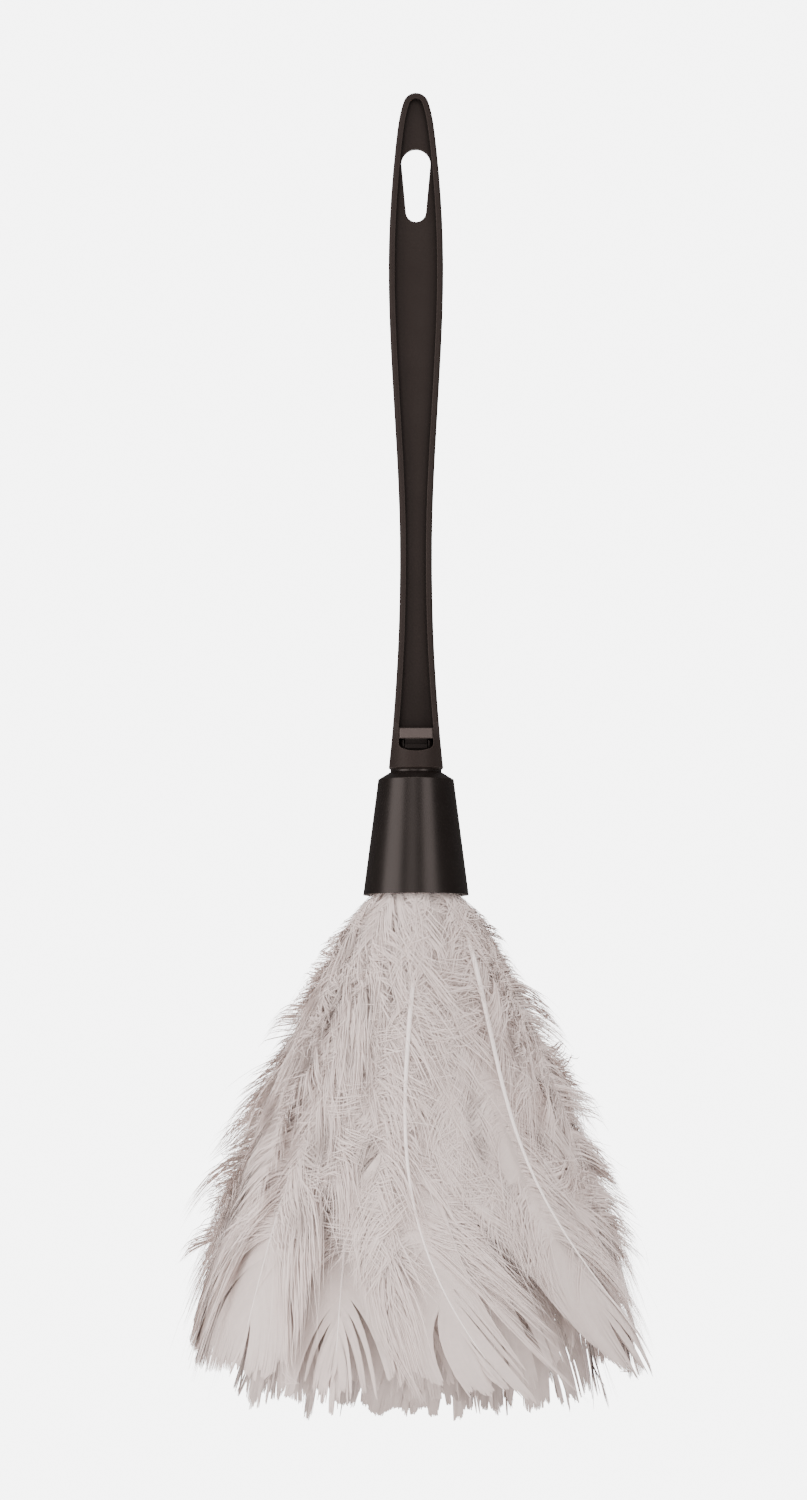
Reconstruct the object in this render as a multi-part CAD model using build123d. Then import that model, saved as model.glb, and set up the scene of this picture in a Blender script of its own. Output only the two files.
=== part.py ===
from build123d import *
from math import cos, hypot, radians, sin
import os

# Feather duster with a moulded handle, hung from the hole in its handle. Millimetres.
# +Z runs up the handle and -Y is the front, with the catch window. The origin is the centre of
# the hang hole's upper arc on the handle's middle plane, where a hook or peg holds it.

# ---- driving sizes ----------------------------------------------------------------------

# Handle: an I-section grip with a web between two rails, and a round cup at its foot.
handle_length = 273.0
hole_to_tip = 28.3  # from the hang hole's upper arc centre to the top of the handle
tip_radius = 5.2
shoulder_half_width = 8.0  # beside the hang hole
shoulder_from_tip = 19.8
grip_half_width = 11.0
grip_from_tip = 70.0  # where the grip is widest
taper_half_width = 9.5  # halfway down the taper from the grip to the waist
taper_from_tip = 115.0
waist_half_width = 6.6
waist_from_tip = 173.0  # where the narrow stretch starts
waist_above_foot = 68.0  # where it ends
flare_half_width = 7.8  # halfway down the flare from the waist to the foot
flare_above_foot = 38.0
root_half_width = 9.3  # beside the window's top
root_above_foot = 17.0
tip_half_depth = 4.4
grip_half_depth = 6.2
waist_half_depth = 5.4
rail_width = 2.4
web_thickness = 3.2
edge_round = 1.3
lip_round = 0.8

# Hang hole: a slot through the web, wide above and narrow below.
hole_radius = 5.8
hole_low_radius = 4.0
hole_drop = 19.8  # from the upper arc's centre to the lower one's

# Cup, socket and window at the handle's foot.
cup_wall = 2.4  # at the foot
cup_height = 9.0
cup_taper = 0.65  # how much smaller the cup's radius is at its top
socket_radius = 8.6
socket_depth = 16.0
window_width = 13.8
window_bottom = 8.0  # above the foot, where its corners begin
window_top = 17.0
window_sag = 0.9  # how far the window's lower edge dips in the middle
window_corner_width = 2.0  # of its rounded lower corners
window_corner_height = 2.8
back_pocket_above_foot = 21.0

# Head fitting: spigot, neck, shoulder and a conical skirt, moulded in one.
spigot_fit = 0.2
spigot_wall = 1.5
spigot_length = 15.4
seat_gap = 0.05
neck_drop = 0.9  # how far the neck shows below the foot
neck_inset = 0.8  # from the foot's radius to the neck's
shoulder_drop = 2.9
collar_length = 50.0  # from the handle's foot to the collar's mouth
collar_wall = 1.6
collar_room = 1.0  # between the outermost winding and the collar, at the winding's top
collar_flare = 6.0  # how much wider the collar's mouth is than its shoulder
plate_thickness = 2.6
boss_wall = 1.5
boss_length = 9.0
mouth_round = 0.6

# Catch: a tongue cut free from the spigot's front, with a press pad and a step.
tongue_width = 9.0
tongue_slot = 0.5  # gap on each side of the tongue
tongue_root = 1.7  # above the foot
tongue_root_gap = 0.1
tongue_root_width = 4.5
catch_gap = 0.2  # between the step and the window's lower edge
step_side_gap = 0.4  # between the step and the window's rounded corners
catch_radius = 9.6  # from the axis to the step's round face
catch_height = 1.6
pad_side_gap = 0.3  # between the pad and the window's side
pad_height = 4.1
pad_reach = 9.4  # from the axis to the pad's face
pad_thickness = 2.2
pad_edge = 0.4
pad_below_top = 0.7  # from the window's top to the pad's top

# Core and binding.
dowel_radius = 6.0
dowel_beyond_mouth = 17.0
press_gap = 0.05
wire_diameter = 0.8
wire_turns = 5
wire_overlap = 0.04  # between neighbouring turns, so that one winding is one solid
bundle_gap = 0.1  # between the dowel, the quills and the windings

# Feathers, in three courses from the core out: how many, the quill's diameter, how far below
# the foot its quills start and their winding lies, and the line of the blade after it leaves
# the collar, as how far out from the axis and how far below the collar's mouth it has come.
courses = {
    "inner": {"count": 10, "quill": 2.2, "start": 15.6, "tie": 24.0,
              "line": ((11.5, 30.0), (19.0, 95.0), (33.0, 206.0))},
    "middle": {"count": 14, "quill": 2.4, "start": 15.6, "tie": 29.0,
               "line": ((21.5, 26.0), (40.0, 92.0), (62.0, 200.0))},
    "outer": {"count": 16, "quill": 2.6, "start": 22.0, "tie": 34.0,
              "line": ((32.0, 22.0), (63.0, 88.0), (91.0, 189.0))},
}
length_steps = (0.0, -3.0, 1.5, -5.0, 2.0, -1.5)  # how much longer each feather in turn is
blade_thickness = 1.6
blade_gap = 1.2  # degrees between neighbouring blades
blade_below_mouth = 2.0
quill_in_blade = 1.2

# ---- places worked out from them --------------------------------------------------------

tip_z = hole_to_tip
foot_z = tip_z - handle_length
mouth_z = foot_z - collar_length
shoulder_z = foot_z - neck_drop - shoulder_drop
plate_top_z = foot_z - seat_gap
plate_bottom_z = foot_z - neck_drop - shoulder_drop - 1.1
glue_bottom_z = plate_bottom_z - boss_length
blade_top_z = mouth_z - blade_below_mouth
web_half = web_thickness / 2
foot_radius = socket_radius + cup_wall
neck_radius = foot_radius - neck_inset
pad_width = window_width - 2 * pad_side_gap
step_width = window_width - 2 * window_corner_width - 2 * step_side_gap
wide = 4 * foot_radius  # further than any part of the handle reaches
spigot_radius = socket_radius - spigot_fit
spigot_bore = spigot_radius - spigot_wall
winding_half = ((wire_turns - 1) * (wire_diameter - wire_overlap) + wire_diameter) / 2

# Radii of the quill rings and of the windings between them, from the dowel outwards.
radius = dowel_radius + bundle_gap
for course in courses.values():
    course["ring"] = radius + course["quill"] / 2
    course["winding"] = radius + course["quill"] + bundle_gap + wire_diameter / 2
    radius = course["winding"] + wire_diameter / 2 + bundle_gap
bundle_radius = radius - bundle_gap

# The collar's inside clears the outermost winding by collar_room at that winding's top.
cone_drop = shoulder_z - mouth_z
tie_top_share = (shoulder_z - foot_z + courses["outer"]["tie"] - winding_half) / cone_drop
shoulder_radius = bundle_radius + collar_room + collar_wall - collar_flare * tie_top_share
mouth_radius = shoulder_radius + collar_flare


def wall_radius(z):
    """The collar's outer radius at a height below the shoulder."""
    return shoulder_radius + collar_flare * (shoulder_z - z) / cone_drop


def turned(*points):
    """A solid turned about the axis from (radius, height) points, given in order."""
    return revolve(make_face(Plane.XZ * Polyline(*points, close=True)), Axis.Z)


# ---- handle -----------------------------------------------------------------------------

def front_face(inset, bottom_z):
    """The handle's outline seen from the front, drawn in by inset, down to bottom_z."""
    lean = radians(70)
    r = tip_radius - inset
    start = (r * sin(lean), tip_z - tip_radius + r * cos(lean))
    stations = [
        start,
        (shoulder_half_width - inset, tip_z - shoulder_from_tip),
        (grip_half_width - inset, tip_z - grip_from_tip),
        (taper_half_width - inset, tip_z - taper_from_tip),
        (waist_half_width - inset, tip_z - waist_from_tip),
        (waist_half_width - inset, foot_z + waist_above_foot),
        (flare_half_width - inset, foot_z + flare_above_foot),
        (root_half_width - inset, foot_z + root_above_foot),
        (foot_radius - inset, foot_z),
    ]
    down = (cos(lean), -sin(lean))
    side = Plane.XZ * Spline(*stations, tangents=[down, (0.1, -1.0)])
    crown = Plane.XZ * ThreePointArc(start, (0, tip_z - tip_radius + r), (-start[0], start[1]))
    other = mirror(side, Plane.YZ)
    face = make_face([crown, side, Line(side @ 1, other @ 1), other])
    if bottom_z > foot_z:
        face &= Plane.XZ * (Pos(0, bottom_z + handle_length) * Rectangle(wide, 2 * handle_length))
    return face


def side_face():
    """The handle's outline seen from the side."""
    stations = [
        (tip_half_depth, tip_z + 1),
        (grip_half_depth, tip_z - grip_from_tip),
        (waist_half_depth, tip_z - waist_from_tip),
        (waist_half_depth, foot_z + waist_above_foot),
        (waist_half_depth + 1.3, foot_z + 0.6 * waist_above_foot),
        (socket_radius + 1.5, foot_z + window_top + 1),
        (foot_radius, foot_z),
    ]
    side = Plane.YZ * Spline(*stations, tangents=[(0.05, -1), (0.05, -1.0)])
    other = mirror(side, Plane.XZ)
    return make_face([side, Line(side @ 1, other @ 1), other, Line(side @ 0, other @ 0)])


def round_envelope():
    """A turned form that rounds the beam off into the cup and clears it everywhere above."""
    cup_top = foot_z + cup_height
    top_radius = foot_radius - cup_taper
    far = (wide / 2, cup_top + 16)
    outline = [
        Line((0, foot_z), (foot_radius - lip_round, foot_z)),
        Line((foot_radius - lip_round, foot_z), (foot_radius, foot_z + lip_round)),
        Line((foot_radius, foot_z + lip_round), (top_radius, cup_top)),
        Spline((top_radius, cup_top), far, tangents=[(-cup_taper, cup_height), (1, 0.45)]),
        Polyline(far, (wide / 2, tip_z + 2), (0, tip_z + 2), (0, foot_z)),
    ]
    return revolve(make_face([Plane.XZ * part for part in outline]), Axis.Z)


def hang_hole():
    """A slot through the web, wide above and narrow below."""
    drop = hole_drop
    lean = (hole_radius - hole_low_radius) / drop  # the sine of the sides' lean
    rise = (1 - lean * lean) ** 0.5
    upper = (hole_radius * rise, -hole_radius * lean)
    lower = (hole_low_radius * rise, -drop - hole_low_radius * lean)
    outline = [
        ThreePointArc(upper, (0, hole_radius), (-upper[0], upper[1])),
        Line((-upper[0], upper[1]), (-lower[0], lower[1])),
        ThreePointArc((-lower[0], lower[1]), (0, -drop - hole_low_radius), lower),
        Line(lower, upper),
    ]
    return extrude(make_face([Plane.XZ * part for part in outline]), wide / 2, both=True)


def window():
    """The opening in the handle's front that the head's catch reaches into."""
    half = window_width / 2
    flat = half - window_corner_width
    low, top = foot_z + window_bottom, foot_z + window_top
    side = low + window_corner_height
    bend = (flat + window_corner_width * sin(radians(45)),
            side - window_corner_height * sin(radians(45)))
    outline = [
        ThreePointArc((-flat, low), (0, low - window_sag), (flat, low)),
        ThreePointArc((flat, low), bend, (half, side)),
        Polyline((half, side), (half, top), (-half, top), (-half, side)),
        ThreePointArc((-half, side), (-bend[0], bend[1]), (-flat, low)),
    ]
    face = make_face([Plane.XZ * part for part in outline])
    front = extrude(face, wide / 2, both=True)
    return front & Pos(0, -web_half - wide / 2, foot_z) * Box(wide, wide, wide)


def handle():
    body = extrude(front_face(0, foot_z), wide / 2, both=True)
    body &= extrude(side_face(), wide / 2, both=True)
    long_edges = [edge for edge in body.edges()
                  if edge.bounding_box().size.Z > handle_length / 2 and abs(edge.center().X) > 1
                  and abs(edge.center().Y) > 1]
    body = fillet(long_edges, edge_round)
    body &= round_envelope()
    for turn, bottom in ((0, window_top), (180, back_pocket_above_foot)):
        pocket = extrude(front_face(rail_width, foot_z + bottom), wide / 2, both=True)
        pocket &= Pos(0, -web_half - wide, -handle_length / 2) * Box(
            wide, 2 * wide, 2 * handle_length)
        body -= Rot(0, 0, turn) * pocket
    body -= hang_hole()
    body -= Pos(0, 0, foot_z + socket_depth / 2) * Cylinder(socket_radius, socket_depth)
    return body - window()


# ---- head fitting and catch -------------------------------------------------------------

def collar():
    slope = collar_flare / cone_drop
    inner_top = shoulder_radius - collar_wall + slope * (shoulder_z - plate_bottom_z)
    boss_radius = dowel_radius + press_gap + boss_wall
    spigot_top_z = foot_z + spigot_length
    body = turned(
        (spigot_bore, spigot_top_z), (spigot_radius, spigot_top_z),
        (spigot_radius, plate_top_z), (neck_radius, plate_top_z),
        (neck_radius, foot_z - neck_drop), (neck_radius + 0.2, foot_z - neck_drop),
        (shoulder_radius, shoulder_z), (mouth_radius, mouth_z),
        (mouth_radius - collar_wall, mouth_z), (inner_top, plate_bottom_z),
        (boss_radius, plate_bottom_z), (boss_radius, plate_bottom_z - boss_length),
        (dowel_radius + press_gap, plate_bottom_z - boss_length),
        (dowel_radius + press_gap, plate_bottom_z), (0, plate_bottom_z),
        (0, plate_top_z), (spigot_bore, plate_top_z),
    )
    slot_width = tongue_width + 2 * tongue_slot
    root_z = foot_z + tongue_root
    body -= Pos(0, -wide / 2, root_z + wide / 2) * Box(slot_width, wide, wide)
    pad_low_z = foot_z + window_top - pad_below_top - pad_height - tongue_slot
    body -= Pos(0, -wide / 2 - web_half, pad_low_z + wide / 2) * Box(
        pad_width + 2 * tongue_slot, wide, wide)
    return body


def tongue_ring(outer, low, high, width):
    """A slice of a ring round the axis at the front, between two heights."""
    middle, height = Pos(0, 0, (low + high) / 2), high - low
    ring = Cylinder(outer, height) - Cylinder(spigot_bore, height)
    return middle * (ring & Pos(0, -wide / 2, 0) * Box(width, wide, height))


def snap_tongue():
    pad_top_z = foot_z + window_top - pad_below_top
    pad_low_z = pad_top_z - pad_height
    root_z = foot_z + tongue_root + tongue_root_gap + spigot_wall / 2
    bend_radius = (spigot_radius + spigot_bore) / 2
    root = Pos(0, 0, root_z) * Torus(bend_radius, spigot_wall / 2)
    root &= Pos(0, -wide / 2, root_z) * Box(tongue_root_width, wide, wide)
    neck = tongue_ring(spigot_radius, root_z, root_z + 2 * spigot_wall, tongue_root_width)
    leaf = tongue_ring(spigot_radius, root_z + spigot_wall, pad_top_z, tongue_width)
    step_low_z = foot_z + window_bottom + catch_gap
    step = tongue_ring(catch_radius, step_low_z, step_low_z + catch_height, step_width)
    pad = Box(pad_width, pad_thickness, pad_height)
    pad = chamfer(pad.faces().sort_by(Axis.Y)[0].edges(), pad_edge)
    pad = Pos(0, -pad_reach + pad_thickness / 2, (pad_low_z + pad_top_z) / 2) * pad
    return root + neck + leaf + step + pad


# ---- core and binding -------------------------------------------------------------------

def core_dowel():
    top = plate_bottom_z - press_gap
    bottom = mouth_z - dowel_beyond_mouth
    return Pos(0, 0, (top + bottom) / 2) * Cylinder(dowel_radius, top - bottom)


def glue_plug():
    top, bottom = plate_bottom_z - press_gap, glue_bottom_z
    inner = dowel_radius + press_gap + boss_wall + press_gap
    return turned(
        (inner, top), (wall_radius(top) - collar_wall - press_gap, top),
        (wall_radius(bottom) - collar_wall - press_gap, bottom), (inner, bottom),
    )


def winding(course):
    """Turns of wire side by side round one course of quills."""
    pitch = wire_diameter - wire_overlap
    first = -(wire_turns - 1) / 2 * pitch
    turns = [Pos(course["winding"], first + pitch * turn) * Circle(wire_diameter / 2)
             for turn in range(wire_turns)]
    profile = turns[0]
    for ring in turns[1:]:
        profile += ring
    centre = Pos(0, 0, foot_z - course["tie"])
    return centre * revolve(Plane.XZ * profile, Axis.Z)


# ---- feathers ---------------------------------------------------------------------------

def blade_band(course, longer):
    """One blade seen from the side: a bowed strip from the collar's mouth to its tip."""
    knee, middle, tip = course["line"]
    run, fall = tip[0] - middle[0], tip[1] - middle[1]
    reach = 1 + longer / hypot(run, fall)
    tip = (middle[0] + run * reach, middle[1] + fall * reach)
    line = [(out, mouth_z - below) for out, below in (knee, middle, tip)]
    spine = Plane.XZ * Spline((course["ring"], blade_top_z), *line)
    sides = []
    for step in (blade_thickness / 2, -blade_thickness / 2):
        points = []
        for share in (0, 0.12, 0.3, 0.6, 1):
            place, along = spine @ share, spine % share
            points.append((place.X - step * along.Z, place.Z + step * along.X))
        sides.append(points)
    outer, inner = sides
    outline = [
        Spline(*outer), Line(outer[-1], inner[-1]), Spline(*inner), Line(inner[0], outer[0]),
    ]
    return make_face([Plane.XZ * part for part in outline])


def feather(course, number):
    """One feather of a course: a straight quill and a blade that is a sector of a bowed skirt."""
    pitch = 360 / course["count"]
    width = pitch - blade_gap
    blade = revolve(blade_band(course, length_steps[number % len(length_steps)]), Axis.Z, width)
    blade = Rot(0, 0, -width / 2) * blade
    top, bottom = foot_z - course["start"], blade_top_z - quill_in_blade
    quill = Pos(course["ring"], 0, (top + bottom) / 2) * Cylinder(
        course["quill"] / 2, top - bottom)
    return Rot(0, 0, pitch * number - 90) * (blade + quill)


# ---- everything, one file for each ------------------------------------------------------

nodes = {
    "handle": handle(),
    "collar": collar(),
    "snap_tongue": snap_tongue(),
    "core_dowel": core_dowel(),
    "glue_plug": glue_plug(),
}
for name, course in courses.items():
    nodes[f"tie_{name}"] = winding(course)
for name, course in courses.items():
    for number in range(course["count"]):
        nodes[f"feather_{name}_{number + 1:02d}"] = feather(course, number)

os.makedirs("parts", exist_ok=True)
for name, shape in nodes.items():
    export_step(shape, f"parts/{name}.step")
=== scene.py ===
import bpy
import bmesh
import math
import numpy as np
from mathutils import Matrix, Vector


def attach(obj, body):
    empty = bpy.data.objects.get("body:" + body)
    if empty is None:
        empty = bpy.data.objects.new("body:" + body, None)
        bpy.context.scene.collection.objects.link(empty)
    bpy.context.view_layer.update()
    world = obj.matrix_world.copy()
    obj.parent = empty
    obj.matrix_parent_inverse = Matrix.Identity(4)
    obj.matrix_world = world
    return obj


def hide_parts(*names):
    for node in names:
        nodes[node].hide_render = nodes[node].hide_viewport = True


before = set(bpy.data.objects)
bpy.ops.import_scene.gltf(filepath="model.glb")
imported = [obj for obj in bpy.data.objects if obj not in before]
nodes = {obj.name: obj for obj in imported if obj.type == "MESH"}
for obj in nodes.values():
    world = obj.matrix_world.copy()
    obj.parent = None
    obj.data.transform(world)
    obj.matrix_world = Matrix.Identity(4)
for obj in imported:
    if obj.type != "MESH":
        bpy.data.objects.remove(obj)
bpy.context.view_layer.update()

mm = 0.001
scene = bpy.context.scene


# Small helpers

def say(text):
    print("stage:", text)


def makePiece(name, mesh, material, body, replaced):
    piece = bpy.data.objects.new(name, mesh)
    scene.collection.objects.link(piece)
    mesh.materials.clear()
    mesh.materials.append(material)
    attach(piece, body)
    if replaced:
        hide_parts(*replaced)
    return piece


def newMaterial(name):
    material = bpy.data.materials.new(name)
    material.use_nodes = True
    tree = material.node_tree
    shader = tree.nodes["Principled BSDF"]
    return material, tree, shader


def addNode(tree, kind, **values):
    node = tree.nodes.new(kind)
    for key, value in values.items():
        setattr(node, key, value)
    return node


# Shared effects, as node groups with named inputs and outputs

grainLook = {"cloudScale": 55.0, "cloudDetail": 4.0, "pitDetail": 3.0, "pitRoughness": 0.6}


def grainGroup(look):
    # Fine moulded grain: a soft cloudiness and a fine pitting
    group = bpy.data.node_groups.new("mouldedGrain", "ShaderNodeTree")
    group.interface.new_socket("Scale", in_out="INPUT", socket_type="NodeSocketFloat")
    group.interface.new_socket("Cloud", in_out="OUTPUT", socket_type="NodeSocketFloat")
    group.interface.new_socket("Height", in_out="OUTPUT", socket_type="NodeSocketFloat")
    source = addNode(group, "NodeGroupInput")
    target = addNode(group, "NodeGroupOutput")
    place = addNode(group, "ShaderNodeTexCoord")
    cloud = addNode(group, "ShaderNodeTexNoise")
    cloud.inputs["Scale"].default_value = look["cloudScale"]
    cloud.inputs["Detail"].default_value = look["cloudDetail"]
    pits = addNode(group, "ShaderNodeTexNoise")
    pits.inputs["Detail"].default_value = look["pitDetail"]
    pits.inputs["Roughness"].default_value = look["pitRoughness"]
    group.links.new(place.outputs["Object"], cloud.inputs["Vector"])
    group.links.new(place.outputs["Object"], pits.inputs["Vector"])
    group.links.new(source.outputs["Scale"], pits.inputs["Scale"])
    group.links.new(cloud.outputs["Fac"], target.inputs["Cloud"])
    group.links.new(pits.outputs["Fac"], target.inputs["Height"])
    return group


# How far a rounded normal turns from the true one before an edge is painted lighter, as a
# cosine, and how shut in a crease is before it gets painted shade, as the share of open sky
wearSheenAndShadeLook = {"samples": 6, "unworn": 0.995, "worn": 0.8, "creaseReach": 1.8, "shut": 0.55,
            "open": 0.92}


def wearSheenAndShadeGroup(look):
    # Rubbed edges painted lighter, partly wear and partly painted highlight, found where a rounded
    # normal leaves the true one, and painted shade in creases, found where the surface closes in
    # on itself
    group = bpy.data.node_groups.new("edgeWearSheenAndShade", "ShaderNodeTree")
    group.interface.new_socket("Radius", in_out="INPUT", socket_type="NodeSocketFloat")
    group.interface.new_socket("WearAndSheen", in_out="OUTPUT", socket_type="NodeSocketFloat")
    group.interface.new_socket("Open", in_out="OUTPUT", socket_type="NodeSocketFloat")
    group.interface.new_socket("Normal", in_out="OUTPUT", socket_type="NodeSocketVector")
    source = addNode(group, "NodeGroupInput")
    target = addNode(group, "NodeGroupOutput")
    bevel = addNode(group, "ShaderNodeBevel", samples=look["samples"])
    face = addNode(group, "ShaderNodeNewGeometry")
    dot = addNode(group, "ShaderNodeVectorMath", operation="DOT_PRODUCT")
    spread = addNode(group, "ShaderNodeMapRange")
    spread.inputs["From Min"].default_value = look["unworn"]
    spread.inputs["From Max"].default_value = look["worn"]
    shelter = addNode(group, "ShaderNodeAmbientOcclusion", samples=look["samples"],
                      only_local=True)
    shelter.inputs["Distance"].default_value = look["creaseReach"] * mm
    openness = addNode(group, "ShaderNodeMapRange")
    openness.inputs["From Min"].default_value = look["shut"]
    openness.inputs["From Max"].default_value = look["open"]
    convex = addNode(group, "ShaderNodeMath", operation="MULTIPLY")
    group.links.new(shelter.outputs["AO"], openness.inputs["Value"])
    group.links.new(openness.outputs["Result"], target.inputs["Open"])
    group.links.new(source.outputs["Radius"], bevel.inputs["Radius"])
    group.links.new(bevel.outputs["Normal"], dot.inputs[0])
    group.links.new(face.outputs["Normal"], dot.inputs[1])
    group.links.new(dot.outputs["Value"], spread.inputs["Value"])
    group.links.new(spread.outputs["Result"], convex.inputs[0])
    group.links.new(openness.outputs["Result"], convex.inputs[1])
    group.links.new(convex.outputs["Value"], target.inputs["WearAndSheen"])
    group.links.new(bevel.outputs["Normal"], target.inputs["Normal"])
    return group


grain = grainGroup(grainLook)
edgeWearSheenAndShade = wearSheenAndShadeGroup(wearSheenAndShadeLook)

# What the three mouldings share: pit depth in mm, how much darker the painted shade in a crease
# is, the warm tint of their gloss, and half the width in mm over which the painted shade on the
# tongue fades in
allPlastics = {"pitDepth": 0.05, "creaseShade": 0.3, "glossTint": (1.0, 0.90, 0.87),
               "shadeEdge": 0.2, "mattRoughness": 1.0}


def plasticMaterial(name, look):
    material, tree, shader = newMaterial(name)
    links = tree.links
    texture = addNode(tree, "ShaderNodeGroup", node_tree=grain)
    texture.inputs["Scale"].default_value = look["grainScale"]
    # This node gives rubbed edges painted lighter, partly wear and partly painted highlight, and
    # painted shade in creases
    worn = addNode(tree, "ShaderNodeGroup", node_tree=edgeWearSheenAndShade)
    worn.inputs["Radius"].default_value = look["edgeRadius"] * mm
    base = addNode(tree, "ShaderNodeMix", data_type="RGBA")
    base.inputs["A"].default_value = (*look["dark"], 1)
    base.inputs["B"].default_value = (*look["light"], 1)
    rubbedAndSheen = addNode(tree, "ShaderNodeMix", data_type="RGBA")
    rubbedAndSheen.inputs["B"].default_value = (*look["worn"], 1)
    # Painted shade: creases take a darker copy of the plastic's dark colour
    creaseShaded = addNode(tree, "ShaderNodeMix", data_type="RGBA")
    creaseShadeColour = [channel * allPlastics["creaseShade"] for channel in look["dark"]]
    creaseShaded.inputs["A"].default_value = (*creaseShadeColour, 1)
    rough = addNode(tree, "ShaderNodeMapRange")
    rough.inputs["To Min"].default_value = look["roughness"][0]
    rough.inputs["To Max"].default_value = look["roughness"][1]
    bump = addNode(tree, "ShaderNodeBump")
    bump.inputs["Strength"].default_value = look["bump"]
    bump.inputs["Distance"].default_value = allPlastics["pitDepth"] * mm
    links.new(texture.outputs["Cloud"], base.inputs["Factor"])
    links.new(base.outputs["Result"], rubbedAndSheen.inputs["A"])
    links.new(worn.outputs["WearAndSheen"], rubbedAndSheen.inputs["Factor"])
    links.new(worn.outputs["Open"], creaseShaded.inputs["Factor"])
    links.new(rubbedAndSheen.outputs["Result"], creaseShaded.inputs["B"])
    finish = creaseShaded.outputs["Result"]
    gloss = rough.outputs["Result"]
    if "shadedBelow" in look:
        # Painted shade: under its pad the tongue is painted as dark as the shaded recess it stands
        # in, and made matt
        edge = allPlastics["shadeEdge"]
        place = addNode(tree, "ShaderNodeTexCoord")
        apart = addNode(tree, "ShaderNodeSeparateXYZ")
        above = addNode(tree, "ShaderNodeMapRange")
        above.inputs["From Min"].default_value = (look["shadedBelow"] - edge) * mm
        above.inputs["From Max"].default_value = (look["shadedBelow"] + edge) * mm
        shaded = addNode(tree, "ShaderNodeMix", data_type="RGBA")
        shaded.inputs["A"].default_value = (*look["below"], 1)
        links.new(place.outputs["Object"], apart.inputs["Vector"])
        links.new(apart.outputs["Z"], above.inputs["Value"])
        links.new(above.outputs["Result"], shaded.inputs["Factor"])
        links.new(finish, shaded.inputs["B"])
        finish = shaded.outputs["Result"]
        matt = addNode(tree, "ShaderNodeMix", data_type="FLOAT")
        matt.inputs["A"].default_value = allPlastics["mattRoughness"]
        links.new(above.outputs["Result"], matt.inputs["Factor"])
        links.new(gloss, matt.inputs["B"])
        gloss = matt.outputs["Result"]
    links.new(finish, shader.inputs["Base Color"])
    links.new(texture.outputs["Cloud"], rough.inputs["Value"])
    links.new(gloss, shader.inputs["Roughness"])
    links.new(texture.outputs["Height"], bump.inputs["Height"])
    links.new(worn.outputs["Normal"], bump.inputs["Normal"])
    links.new(bump.outputs["Normal"], shader.inputs["Normal"])
    shader.inputs["Specular IOR Level"].default_value = look["specular"]
    shader.inputs["Specular Tint"].default_value = (*allPlastics["glossTint"], 1)
    return material


# Colours are shares of light, edge radii and heights are in mm
# Each "worn" colour is painted on rubbed edges, partly wear and partly painted highlight
plasticLooks = {
    "handle": {"dark": (0.0140, 0.0104, 0.0093), "light": (0.0205, 0.0156, 0.0140),
               "worn": (0.060, 0.047, 0.042), "roughness": (0.42, 0.56), "grainScale": 2600,
               "bump": 0.3, "edgeRadius": 0.45, "specular": 0.17},
    "collar": {"dark": (0.0045, 0.0034, 0.0030), "light": (0.0075, 0.0058, 0.0052),
               "worn": (0.022, 0.018, 0.016), "roughness": (0.26, 0.36), "grainScale": 1800,
               "bump": 0.10, "edgeRadius": 0.4, "specular": 0.5},
    # The catch's "below" colour is painted shade on the tongue under its pad
    "catch": {"dark": (0.046, 0.037, 0.035), "light": (0.064, 0.052, 0.049),
              "worn": (0.10, 0.083, 0.077), "roughness": (0.4, 0.5), "grainScale": 2600,
              "bump": 0.3, "edgeRadius": 0.3, "specular": 0.4, "shadedBelow": -232.7,
              "below": (0.004, 0.003, 0.0028)},
}
handlePlastic = plasticMaterial("handlePlastic", plasticLooks["handle"])
collarPlastic = plasticMaterial("collarPlastic", plasticLooks["collar"])
catchPlastic = plasticMaterial("catchPlastic", plasticLooks["catch"])
say("materials for the mouldings")


def paintNode(name, material):
    node = nodes[name]
    node.data.materials.clear()
    node.data.materials.append(material)
    for face in node.data.polygons:
        face.material_index = 0


for name, material in (("handle", handlePlastic), ("collar", collarPlastic),
                       ("snap_tongue", catchPlastic)):
    paintNode(name, material)


# Feathers

# The quill colour is paler than the barbs, partly its own colour and partly a painted highlight
# along the shaft
featherLook = {"pale": (0.84, 0.747, 0.71), "deep": (0.38, 0.322, 0.296),
               "quill": (0.95, 0.89, 0.86), "roughness": 0.85, "quillRoughness": 0.45,
               "sheen": 0.15, "specular": 0.25, "mottleScale": 420.0, "mottleDetail": 5.0,
               "mottle": 0.22, "bump": 0.25, "bumpDepth": 0.1}
# The courses inside are a little darker
courseShades = {"outer": 1.0, "middle": 0.95, "inner": 0.9}


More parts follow.
